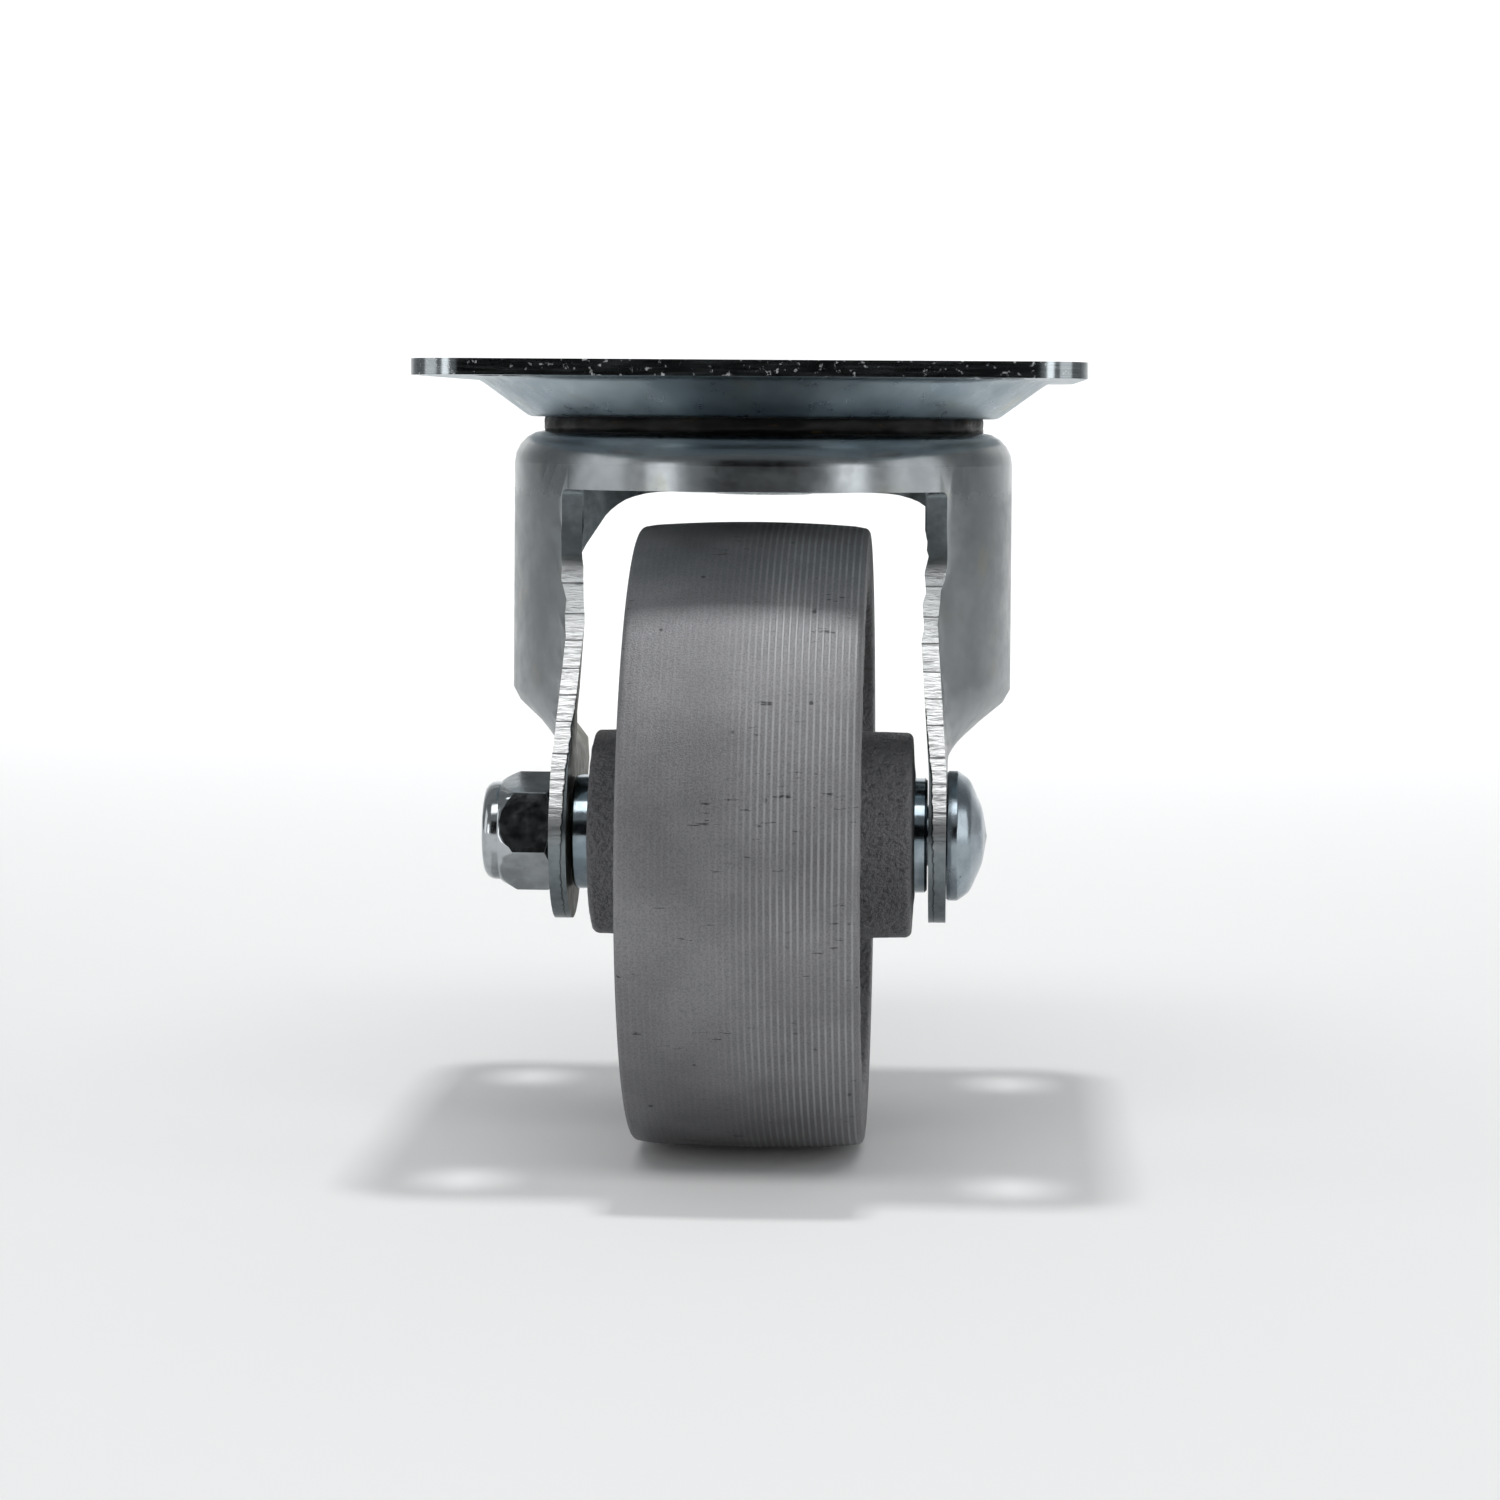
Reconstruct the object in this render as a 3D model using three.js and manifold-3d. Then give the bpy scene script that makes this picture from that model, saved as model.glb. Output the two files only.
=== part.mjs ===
// Swivel plate caster for a gate: a pressed steel top plate and a pressed fork turn on two rings of
// bearing balls, and a one-piece cast-iron wheel runs on a sleeve over the axle bolt.
// Frame: origin on the swivel axis in the plane of the plate's top face, +Z up, axle along X,
// the wheel trails towards -Y. Millimetres.
import * as THREE from 'three';
import { mergeVertices } from 'three/addons/utils/BufferGeometryUtils.js';
import Module from 'manifold-3d';

const wasm = await Module();
wasm.setup();

// top plate
const PLATE_X = 107.4;
const PLATE_Y = 115;
const PLATE_T = 2.6;
const PLATE_CORNER_R = 9.5;
const SLOT_X = 38.5;
const SLOT_Y = 43.6;
const SLOT_W = 10.5;
const SLOT_L = 15;
const DISH_TOP_R = 48.8;
const DISH_FLOOR_R = 39.8;
const DISH_FLOOR_Z = -9.1;

// swivel bearing
const UPPER_BALL_R = 3.969;
const UPPER_RING_R = 32.7;
const UPPER_RING_Z = -10.25;
const UPPER_BALLS = 25;
const LOWER_BALL_R = 3.175;
const LOWER_RING_R = 16.4;
const LOWER_RING_Z = -16.28;
const LOWER_BALLS = 16;
const BALL_CLEARANCE = 0.2;
const KINGPIN_R = 7;
const CUP_T = 2;
const CUP_R = 21.6;
const CUP_TOP_Z = -18.15;

// fork
const CROWN_R = 42.35;
const CROWN_TOP_Z = -11.4;
const CROWN_HOLE_R = 11.5;
const SHOULDER_R = 5.4;
const FORK_T = 2.8;
const FRONT_LIP_Z = -21;
const REAR_LIP_Z = -22.4;
const FORK_INNER = 58.2;
const LEG_SPLAY = 2.4;
const BULGE_END_Z = -55;
const LEG_FLAT_Z = -66;
const LEG_FRONT_Y = -28.2;
const LEG_KINK_Z = -34;
const TRIM_ANGLE = 0.785; // radians from +X: the leg tops are cut square to the crown
const REAR_CORNER = [25.5, -27.4];
const BOSS_R = 14.2;

// axle and wheel
const AXLE_Y = -30;
const AXLE_Z = -77;
const BOLT_R = 5;
const BOLT_HEAD_R = 10.6;
const BOLT_HEAD_H = 6.5;
const SLEEVE_R = 9.35;
const NUT_AF = 17;
const NUT_HEX_L = 8.9;
const NUT_COLLAR_L = 2.7;
const NUT_COLLAR_R = 8.05;
const NUT_TURN = 15.7;
const WHEEL_R = 51;
const WHEEL_W = 37.5;
const TREAD_CROWN = 0.8;
const RIM_R = 41.5;
const HUB_R = 17.1;
const HUB_L = 52.8;
const WHEEL_SHIFT = 0.4;
const BORE_R = 9.44;

const LEG_OUT = FORK_INNER / 2 + FORK_T;
const ZINC = { color: 0x9aa3aa, metalness: 0.9, roughness: 0.32 };

// ---- outlines -------------------------------------------------------------------------------

// points on an arc about (a, b) from angle t0 to t1 in degrees
function arc(a, b, r, t0, t1, n) {
  const points = [];
  for (let i = 0; i <= n; i += 1) {
    const t = THREE.MathUtils.degToRad(t0 + ((t1 - t0) * i) / n);
    points.push([a + r * Math.cos(t), b + r * Math.sin(t)]);
  }
  return points;
}

// replaces each corner [a, b, radius] by an arc of that radius
function rounded(corners, steps = 4) {
  const points = [];
  corners.forEach((corner, i) => {
    const here = new THREE.Vector2(corner[0], corner[1]);
    const radius = corner[2] ?? 0;
    if (radius === 0) {
      points.push([here.x, here.y]);
      return;
    }
    const before = corners[(i + corners.length - 1) % corners.length];
    const after = corners[(i + 1) % corners.length];
    const u = new THREE.Vector2(before[0], before[1]).sub(here).normalize();
    const v = new THREE.Vector2(after[0], after[1]).sub(here).normalize();
    const half = Math.acos(THREE.MathUtils.clamp(u.dot(v), -1, 1)) / 2;
    const bisector = u.clone().add(v).normalize();
    const centre = here.clone().addScaledVector(bisector, radius / Math.sin(half));
    const start = here.clone().addScaledVector(u, radius / Math.tan(half)).sub(centre);
    const end = here.clone().addScaledVector(v, radius / Math.tan(half)).sub(centre);
    const from = start.angle();
    let sweep = end.angle() - from;
    if (sweep > Math.PI) {
      sweep -= 2 * Math.PI;
    }
    if (sweep < -Math.PI) {
      sweep += 2 * Math.PI;
    }
    for (let k = 0; k <= steps; k += 1) {
      const t = from + (sweep * k) / steps;
      points.push([centre.x + radius * Math.cos(t), centre.y + radius * Math.sin(t)]);
    }
  });
  return points;
}

// half angle in degrees at which a ball groove of radius r opens, a distance off its centre
function grooveAngle(r, off) {
  return THREE.MathUtils.radToDeg(Math.acos(off / r));
}

// ---- solids ---------------------------------------------------------------------------------

function toSolid(geometry) {
  const bare = new THREE.BufferGeometry();
  bare.setAttribute('position', geometry.getAttribute('position').clone());
  if (geometry.index) {
    bare.setIndex(geometry.index.clone());
  }
  const merged = mergeVertices(bare, 1e-5);
  return new wasm.Manifold(new wasm.Mesh({
    numProp: 3,
    vertProperties: new Float32Array(merged.getAttribute('position').array),
    triVerts: new Uint32Array(merged.index.array),
  }));
}

function toGeometry(solid) {
  const mesh = solid.getMesh();
  const geometry = new THREE.BufferGeometry();
  geometry.setAttribute('position', new THREE.BufferAttribute(mesh.vertProperties, 3));
  geometry.setIndex(new THREE.BufferAttribute(mesh.triVerts, 1));
  geometry.computeVertexNormals();
  return geometry;
}

// a closed grid: rows of points, each row a ring, the last row joined to the first
function ringGrid(rows) {
  const n = rows[0].length;
  const positions = rows.flat(2);
  const index = [];
  rows.forEach((row, i) => {
    const next = (i + 1) % rows.length;
    for (let j = 0; j < n; j += 1) {
      const k = (j + 1) % n;
      index.push(i * n + j, next * n + j, next * n + k);
      index.push(i * n + j, next * n + k, i * n + k);
    }
  });
  const geometry = new THREE.BufferGeometry();
  geometry.setAttribute('position', new THREE.Float32BufferAttribute(positions, 3));
  geometry.setIndex(index);
  return geometry;
}

// turns a closed [r, z] outline about the Z axis; the outline runs counter-clockwise
function turned(outline, segments) {
  const rows = outline.toReversed().map(([r, z]) => {
    const row = [];
    for (let j = 0; j < segments; j += 1) {
      const t = (2 * Math.PI * j) / segments;
      row.push([r * Math.cos(t), r * Math.sin(t), z]);
    }
    return row;
  });
  return ringGrid(rows);
}

// turns an [r, x] outline that starts and ends on the axle about a line along X
function turnedOnAxle(outline, segments) {
  const points = outline.map(([r, x]) => new THREE.Vector2(r, x));
  const geometry = new THREE.LatheGeometry(points, segments);
  geometry.rotateZ(-Math.PI / 2);
  return geometry;
}

function atAxle(geometry) {
  return geometry.translate(0, AXLE_Y, AXLE_Z);
}

// a cylinder along X through the axle
function axleCylinder(r, x0, x1, segments) {
  const geometry = new THREE.CylinderGeometry(r, r, x1 - x0, segments);
  geometry.rotateZ(Math.PI / 2);
  geometry.translate((x0 + x1) / 2, 0, 0);
  return atAxle(geometry);
}

// pushes an outline in X and Y from z0 up to z1
function pushedUp(outline, z0, z1) {
  const shape = new THREE.Shape(outline.map(([x, y]) => new THREE.Vector2(x, y)));
  const geometry = new THREE.ExtrudeGeometry(shape, { depth: z1 - z0, bevelEnabled: false });
  return geometry.translate(0, 0, z0);
}

function piece(name, geometry, look) {
  const mesh = new THREE.Mesh(geometry, new THREE.MeshStandardMaterial({ name, ...look }));
  mesh.name = name;
  return mesh;
}

// ---- mounting plate: blanked sheet, four slots, a cone pressed down to the ball race --------

function slot(x, y) {
  const w = SLOT_W / 2;
  const l = SLOT_L / 2;
  const corners = [[x - w, y - l, w - 0.01], [x + w, y - l, w - 0.01],
    [x + w, y + l, w - 0.01], [x - w, y + l, w - 0.01]];
  return toSolid(pushedUp(rounded(corners, 6), -PLATE_T - 5, 5));
}

function dishOutline() {
  const off = DISH_FLOOR_Z - UPPER_RING_Z;
  const under = UPPER_BALL_R + BALL_CLEARANCE;
  const over = under + PLATE_T;
  const a = grooveAngle(under, off);
  const b = grooveAngle(over, off + PLATE_T);
  const hole = KINGPIN_R + 0.1;
  const rim = DISH_TOP_R + 2.6;
  const slope = Math.atan2(-DISH_FLOOR_Z - PLATE_T, DISH_TOP_R - DISH_FLOOR_R);
  const inset = PLATE_T * Math.tan(slope / 2);
  const lower = [
    [hole, DISH_FLOOR_Z],
    ...arc(UPPER_RING_R, UPPER_RING_Z, under, 90 + a, 90 - a, 6),
    ...rounded([[37.6, DISH_FLOOR_Z], [DISH_FLOOR_R, DISH_FLOOR_Z, 2.5],
      [DISH_TOP_R, -PLATE_T, 4.5], [rim, -PLATE_T]], 3),
  ];
  const upper = [
    ...rounded([[rim, 0], [DISH_TOP_R - inset, 0, 7.1],
      [DISH_FLOOR_R - inset, DISH_FLOOR_Z + PLATE_T]], 2),
    ...arc(UPPER_RING_R, UPPER_RING_Z, over, 90 - b, 90 + b, 6),
    [hole, DISH_FLOOR_Z + PLATE_T],
  ];
  return [...lower, ...upper];
}

function mountingPlate() {
  const x = PLATE_X / 2;
  const y = PLATE_Y / 2;
  const r = PLATE_CORNER_R;
  const blank = rounded([[-x, -y, r], [x, -y, r], [x, y, r], [-x, y, r]], 6);
  let sheet = toSolid(pushedUp(blank, -PLATE_T, 0));
  const well = new THREE.CylinderGeometry(DISH_TOP_R + 2.3, DISH_TOP_R + 2.3, 10, 54);
  well.rotateX(Math.PI / 2);
  sheet = sheet.subtract(toSolid(well));
  for (const sx of [-1, 1]) {
    for (const sy of [-1, 1]) {
      sheet = sheet.subtract(slot(sx * SLOT_X, sy * SLOT_Y));
    }
  }
  const dish = toSolid(turned(dishOutline(), 54));
  return piece('mounting_plate', toGeometry(sheet.add(dish)), ZINC);
}

// ---- swivel bearing: rivet, lower cup and two rings of balls --------------------------------

function kingpin() {
  const plateTop = DISH_FLOOR_Z + PLATE_T + 0.05;
  const cupUnder = CUP_TOP_Z - CUP_T - 0.05;
  const outline = rounded([
    [0, -22.05], [8.2, -22.05, 1.2], [10.4, cupUnder - 0.5, 0.4], [10.4, cupUnder],
    [KINGPIN_R, cupUnder], [KINGPIN_R, plateTop], [12.6, plateTop],
    [12.6, plateTop + 1.2, 0.8], [7.6, plateTop + 3.6, 3], [0, plateTop + 3.9],
  ], 2);
  const points = outline.map(([r, z]) => new THREE.Vector2(r, z));
  const geometry = new THREE.LatheGeometry(points, 24);
  geometry.rotateX(Math.PI / 2);
  return piece('kingpin', geometry, ZINC);
}

function raceCup() {
  const off = LOWER_RING_Z - CUP_TOP_Z;
  const groove = LOWER_BALL_R + BALL_CLEARANCE;
  const a = grooveAngle(groove, off);
  const b = grooveAngle(groove + CUP_T, off + CUP_T);
  const hole = KINGPIN_R + 0.1;
  const outline = [
    [hole, CUP_TOP_Z - CUP_T],
    ...arc(LOWER_RING_R, LOWER_RING_Z, groove + CUP_T, 270 - b, 270 + b, 6),
    [CUP_R, CUP_TOP_Z - 0.4],
    [CUP_R, CUP_TOP_Z + 1.1],
    [CUP_R - 1.4, CUP_TOP_Z + 1.1],
    ...arc(LOWER_RING_R, LOWER_RING_Z, groove, 270 + a, 270 - a, 6),
    [hole, CUP_TOP_Z],
  ];
  return piece('lower_race_cup', turned(outline, 34), ZINC);
}

function balls(group, name, count, ballR, ringR, z) {
  for (let i = 0; i < count; i += 1) {
    const t = (2 * Math.PI * i) / count;
    const geometry = mergeVertices(bareSphere(ballR));
    geometry.translate(ringR * Math.cos(t), ringR * Math.sin(t), z);
    const label = `${name}_${String(i + 1).padStart(2, '0')}`;
    group.add(piece(label, geometry, { color: 0xb8bcc0, metalness: 1, roughness: 0.15 }));
  }
}

function bareSphere(r) {
  const sphere = new THREE.SphereGeometry(r, 7, 4);
  sphere.deleteAttribute('normal');
  sphere.deleteAttribute('uv');
  return sphere;
}

// ---- fork: one pressed sheet, a drawn crown whose skirt runs down into two legs -------------

// how far the legs bulge out to the crown's cylinder: 1 above, 0 at the flat axle bosses
function bulge(z) {
  const t = THREE.MathUtils.clamp((z - LEG_FLAT_Z) / (BULGE_END_Z - LEG_FLAT_Z), 0, 1);
  if (t < 0.2) {
    return (t * t) / 0.32;
  }
  if (t > 0.8) {
    return 1 - (1 - t) ** 2 / 0.32;
  }
  return (t - 0.1) / 0.8;
}

// outside of the flat part of a leg: the legs splay a little towards the axle
function flatOut(z) {
  const up = (z - LEG_FLAT_Z) / (LEG_KINK_Z - LEG_FLAT_Z);
  return LEG_OUT - LEG_SPLAY * THREE.MathUtils.clamp(up, 0, 1);
}

// where the flat part meets the crown's cylinder
function flatStart(z) {
  return -Math.sqrt(CROWN_R ** 2 - flatOut(z) ** 2);
}

// how far towards -Y the flat front of a leg reaches at height z
function flatReach(z) {
  return flatStart(z) - 0.42 * Math.max(0, LEG_KINK_Z + 7 - z);
}

// outside of the skirt and legs: t is the angle about the swivel axis, 0 along +X
function skirtPoint(t, z) {
  const side = Math.cos(t) < 0 ? -1 : 1;
  const across = CROWN_R * Math.abs(Math.cos(t));
  const y = CROWN_R * Math.sin(t);
  const start = flatStart(z);
  const reach = flatReach(z);
  if (y < start) {
    return [side * across, y + reach - start, z];
  }
  const flat = flatOut(z);
  if (y > 0) {
    const out = across - flat;
    return [side * (flat + (out > 0 ? out * bulge(z) : out)), y, z];
  }
  const stretched = (y * reach) / start;
  const round = Math.sqrt(Math.max(0, CROWN_R ** 2 - stretched ** 2));
  const out = round - flat;
  const soft = Math.min(0.6, start - reach);
  const kept = (out + Math.sqrt(out ** 2 + soft)) / 2;
  return [side * (flat + kept * bulge(z)), stretched, z];
}

// the same point moved in by the sheet thickness along the surface's inward normal
function skirtInside(t, z) {
  const e = 1e-3;
  const at = (angle, height) => new THREE.Vector3(...skirtPoint(angle, height));
  const p = at(t, z);
  const along = at(t + e, z).sub(at(t - e, z));
  const down = at(t, z - 0.05).sub(at(t, z + 0.05));
  const normal = along.cross(down).normalize();
  if (normal.x * p.x + normal.y * p.y < 0) {
    normal.negate();
  }
  return p.addScaledVector(normal, -FORK_T).toArray();
}

function skirtAngles() {
  const spans = [[-90, -44, 7], [-44, 0, 11], [0, 56, 8], [56, 90, 4]];
  const right = spans.flatMap(([from, to, n]) => {
    const list = [];
    for (let i = 0; i < n; i += 1) {
      list.push(from + ((to - from) * i) / n);
    }
    return list;
  });
  const left = right.slice(1).map((t) => 180 - t).reverse();
  return [...right, 90, ...left].map((t) => THREE.MathUtils.degToRad(t));
}

function crownOutside() {
  const off = UPPER_RING_Z - CROWN_TOP_Z;
  const groove = UPPER_BALL_R + BALL_CLEARANCE;
  const a = grooveAngle(groove, off);
  return [
    [CROWN_HOLE_R, CROWN_TOP_Z],
    ...arc(UPPER_RING_R, UPPER_RING_Z, groove, 270 - a, 270 + a, 6),
    ...arc(CROWN_R - SHOULDER_R, CROWN_TOP_Z - SHOULDER_R, SHOULDER_R, 88, 0, 5),
  ];
}

function crownInside() {
  const under = CROWN_TOP_Z - FORK_T;
  const over = UPPER_BALL_R + BALL_CLEARANCE + FORK_T;
  const b = grooveAngle(over, UPPER_RING_Z - under);
  const small = LOWER_BALL_R + BALL_CLEARANCE;
  const c = grooveAngle(small, under - LOWER_RING_Z);
  const inner = CROWN_R - FORK_T;
  return [
    [inner, -17],
    [inner - 0.25, -15.8],
    ...arc(UPPER_RING_R, UPPER_RING_Z, over, 270 + b * 0.78, 270 - b, 6),
    ...arc(LOWER_RING_R, LOWER_RING_Z, small, 90 - c, 90 + c, 6),
    [CROWN_HOLE_R, under],
  ];
}

// point on the boss circle where a line from (y, z) touches it
function touch(y, z, sign) {
  const dy = y - AXLE_Y;
  const dz = z - AXLE_Z;
  const d = Math.hypot(dy, dz);
  const t = Math.atan2(dz, dy) + sign * Math.acos(BOSS_R / d);
  return THREE.MathUtils.radToDeg(t);
}

// side outline of the fork in Y and Z
function forkSide() {
  const front = touch(LEG_FRONT_Y, LEG_KINK_Z, 1);
  const rear = touch(REAR_CORNER[0], REAR_CORNER[1], -1);
  const boss = arc(AXLE_Y, AXLE_Z, BOSS_R, front, rear + 360, 22);
  const rise = (AXLE_Z - REAR_CORNER[1]) / (AXLE_Y + BOSS_R - REAR_CORNER[0]);
  const top = REAR_CORNER[0] + (REAR_LIP_Z - REAR_CORNER[1]) / rise;
  return [
    ...rounded([[60, 5], [-60, 5], [-60, FRONT_LIP_Z], [LEG_FRONT_Y, FRONT_LIP_Z, 0.9],
      [LEG_FRONT_Y, LEG_KINK_Z, 9], boss[0]], 6).slice(0, -1),
    ...boss,
    ...rounded([boss[boss.length - 1], [top, REAR_LIP_Z, 11], [60, REAR_LIP_Z]], 7).slice(1),
  ];
}

function fork() {
  const angles = skirtAngles();
  const levels = [-16.9, -21, -24, -27, -30.5, -34, -39, -45, -50, -53, -55, -57, -60, -63, -65,
    -67, -70, -79, -96];
  const rings = [
    ...crownOutside().map(([r, z]) => angles.map((t) => [r * Math.cos(t), r * Math.sin(t), z])),
    ...levels.map((z) => angles.map((t) => skirtPoint(t, z))),
    ...levels.slice(1).reverse().map((z) => angles.map((t) => skirtInside(t, z))),
    ...crownInside().map(([r, z]) => angles.map((t) => [r * Math.cos(t), r * Math.sin(t), z])),
  ];
  const side = new THREE.Shape(forkSide().map(([y, z]) => new THREE.Vector2(y, z)));
  const keep = new THREE.ExtrudeGeometry(side, { depth: 130, bevelEnabled: false });
  keep.rotateX(Math.PI / 2);
  keep.rotateZ(Math.PI / 2);
  keep.translate(-65, 0, 0);
  const hole = toSolid(axleCylinder(BOLT_R + 0.3, -60, 60, 32));
  const fall = -60 * Math.tan(TRIM_ANGLE);
  const mouth = [[0, 0], [-60, fall], [-60, -90], [60, -90], [60, fall]];
  const trim = toSolid(pushedUp(mouth, LEG_KINK_Z + 1.5, FRONT_LIP_Z));
  const solid = toSolid(ringGrid(rings)).intersect(toSolid(keep)).subtract(hole).subtract(trim);
  return piece('fork', toGeometry(solid), ZINC);
}

// ---- axle: domed bolt, sleeve and nylon-insert lock nut -------------------------------------

function axleBolt() {
  const seat = LEG_OUT + 0.1;
  const end = -(LEG_OUT + NUT_HEX_L + NUT_COLLAR_L - 0.7);
  const outline = rounded([
    [0, end], [BOLT_R - 0.8, end], [BOLT_R, end + 0.8], [BOLT_R, seat],
    [BOLT_HEAD_R - 0.3, seat], [BOLT_HEAD_R, seat + 0.3], [BOLT_HEAD_R, seat + 1.7, 0.5],
    [9.2, seat + 3.7, 3], [4.6, seat + BOLT_HEAD_H - 0.75, 8], [0, seat + BOLT_HEAD_H],
  ], 3);
  return piece('axle_bolt', atAxle(turnedOnAxle(outline, 30)), ZINC);
}

function axleSleeve() {
  const half = FORK_INNER / 2 - 0.3;
  const outline = [
    [BOLT_R + 0.25, -half], [SLEEVE_R - 0.4, -half], [SLEEVE_R, -half + 0.4],
    [SLEEVE_R, half - 0.4], [SLEEVE_R - 0.4, half], [BOLT_R + 0.25, half],
  ];
  const geometry = turned(outline, 48).rotateY(Math.PI / 2);
  return piece('axle_sleeve', atAxle(geometry), ZINC);
}

function lockNut() {
  const seat = -(LEG_OUT + 0.1);
  const hexEnd = seat - NUT_HEX_L;
  const end = hexEnd - NUT_COLLAR_L;
  const corner = NUT_AF / 2 / Math.cos(Math.PI / 6);
  const hex = new THREE.CylinderGeometry(corner, corner, 30, 6);
  hex.rotateZ(Math.PI / 2);
  hex.rotateX(THREE.MathUtils.degToRad(NUT_TURN - 30));
  hex.translate((seat + end) / 2, 0, 0);
  const outline = rounded([
    [6.1, end], [NUT_COLLAR_R, end, 1.8], [NUT_COLLAR_R, hexEnd], [NUT_AF / 2 - 0.25, hexEnd],
    [corner + 0.3, hexEnd + 3.2], [corner + 0.3, seat - 1.2], [NUT_AF / 2 - 0.3, seat],
    [BOLT_R + 0.2, seat], [BOLT_R + 0.2, hexEnd + 1.3], [6.7, hexEnd + 0.25],
    [6.7, end + 0.35], [6.1, end + 0.35],
  ]);
  const blank = turned(outline, 34).rotateY(Math.PI / 2);
  const solid = toSolid(blank).intersect(toSolid(hex));
  return piece('lock_nut', atAxle(toGeometry(solid)), ZINC);
}

function nutInsert() {
  const hexEnd = -(LEG_OUT + 0.1) - NUT_HEX_L;
  const end = hexEnd - NUT_COLLAR_L;
  const outline = [
    [BOLT_R + 0.1, end + 0.6], [6.55, end + 0.6], [6.55, hexEnd - 0.1], [BOLT_R + 0.1, hexEnd - 0.1],
  ];
  const geometry = turned(outline, 40).rotateY(Math.PI / 2);
  return piece('nut_insert', atAxle(geometry), { color: 0xd8dadc, roughness: 0.5 });
}

// ---- wheel: one casting, crowned turned tread, dished web and long hub ----------------------

function wheel() {
  const half = WHEEL_W / 2;
  const hub = HUB_L / 2;
  const right = [
    [WHEEL_R - TREAD_CROWN, half, 1.1], [RIM_R, half, 1], [RIM_R - 2.4, 5.2, 3],
    [HUB_R + 2.2, 4.6, 4], [HUB_R, 14], [HUB_R, hub, 1.3], [BORE_R + 0.8, hub],
    [BORE_R, hub - 0.8],
  ];
  const left = right.map(([r, x, f]) => [r, -x, f ?? 0]).reverse();
  const tread = [];
  for (let i = 1; i < 6; i += 1) {
    const x = -half + (WHEEL_W * i) / 6;
    tread.push([WHEEL_R - TREAD_CROWN * (x / half) ** 2, x]);
  }
  const outline = rounded([...left, ...tread, ...right], 2);
  const geometry = turned(outline, 54).rotateY(Math.PI / 2);
  geometry.translate(WHEEL_SHIFT, 0, 0);
  return piece('wheel', atAxle(geometry), { color: 0x777b80, metalness: 0.6, roughness: 0.6 });
}

const part = new THREE.Group();
part.name = 'gate_wheel';
part.add(mountingPlate(), kingpin(), raceCup());
balls(part, 'upper_ball', UPPER_BALLS, UPPER_BALL_R, UPPER_RING_R, UPPER_RING_Z);
balls(part, 'lower_ball', LOWER_BALLS, LOWER_BALL_R, LOWER_RING_R, LOWER_RING_Z);
part.add(fork(), axleBolt(), axleSleeve(), lockNut(), nutInsert(), wheel());

export default part;
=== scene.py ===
# Swivel plate caster for a gate. A pressed steel plate and fork, zinc plated with a bluish clear
# passivation, turn on two greased rings of balls; the wheel is one sand casting in grey iron with
# silver paint and a turned tread, and runs on a steel sleeve over the axle bolt.
import math

import bmesh
import bpy
from mathutils import Matrix, Vector, noise


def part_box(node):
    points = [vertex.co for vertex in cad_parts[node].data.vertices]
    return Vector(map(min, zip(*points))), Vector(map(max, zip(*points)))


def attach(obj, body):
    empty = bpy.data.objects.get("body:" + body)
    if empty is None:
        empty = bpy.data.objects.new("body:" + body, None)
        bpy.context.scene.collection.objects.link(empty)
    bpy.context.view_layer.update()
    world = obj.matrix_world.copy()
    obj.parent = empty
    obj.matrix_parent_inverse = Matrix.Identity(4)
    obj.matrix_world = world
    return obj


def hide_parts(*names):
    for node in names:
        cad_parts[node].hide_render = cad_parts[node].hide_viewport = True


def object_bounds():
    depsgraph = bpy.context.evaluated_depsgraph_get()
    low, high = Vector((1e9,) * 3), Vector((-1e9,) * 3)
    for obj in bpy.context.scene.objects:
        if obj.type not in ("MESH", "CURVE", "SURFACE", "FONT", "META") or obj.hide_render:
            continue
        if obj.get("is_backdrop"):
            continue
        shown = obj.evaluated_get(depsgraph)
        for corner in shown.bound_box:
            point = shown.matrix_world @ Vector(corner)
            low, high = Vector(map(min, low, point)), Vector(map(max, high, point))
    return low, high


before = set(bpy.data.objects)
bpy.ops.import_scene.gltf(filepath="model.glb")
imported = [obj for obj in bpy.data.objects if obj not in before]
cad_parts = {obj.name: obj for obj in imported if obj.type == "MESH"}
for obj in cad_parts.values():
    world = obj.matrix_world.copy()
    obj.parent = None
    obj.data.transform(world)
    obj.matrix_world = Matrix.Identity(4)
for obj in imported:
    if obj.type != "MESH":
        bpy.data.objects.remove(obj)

cad_low, cad_high = (list(c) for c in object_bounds())
wheel_low, wheel_high = (Vector(c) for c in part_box("wheel"))
wheel_centre = (wheel_low + wheel_high) / 2
MM = 0.001

# ---- camera and studio ----------------------------------------------------------------------
# A long lens at the height of the ball race looks at the trailing side, a little from the bolt
# head's side. The room is pale, with a dark wall behind the camera that flat zinc mirrors, and a
# small lamp high above the plate, so that the plate shades the top of the tread.

YAW = math.radians(3.11)
PITCH = math.radians(2.46)
ROLL = math.radians(0.40)
DISTANCE = 645 * MM
EYE_Z = -9 * MM
camera = bpy.data.objects.new("camera", bpy.data.cameras.new("camera"))
bpy.context.scene.collection.objects.link(camera)
camera.data.lens = 94.9
camera.data.shift_x = -0.0036
camera.data.shift_y = -0.1085
camera.data.clip_start = 0.05
camera.data.clip_end = 50
eye = Vector((wheel_centre.x + DISTANCE * math.sin(YAW),
              wheel_centre.y - DISTANCE * math.cos(YAW), EYE_Z))
turn = (Matrix.Rotation(YAW, 4, "Z") @ Matrix.Rotation(math.pi / 2 - PITCH, 4, "X")
        @ Matrix.Rotation(ROLL, 4, "Z"))
camera.matrix_world = Matrix.Translation(eye) @ turn
bpy.context.scene.camera = camera


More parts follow.
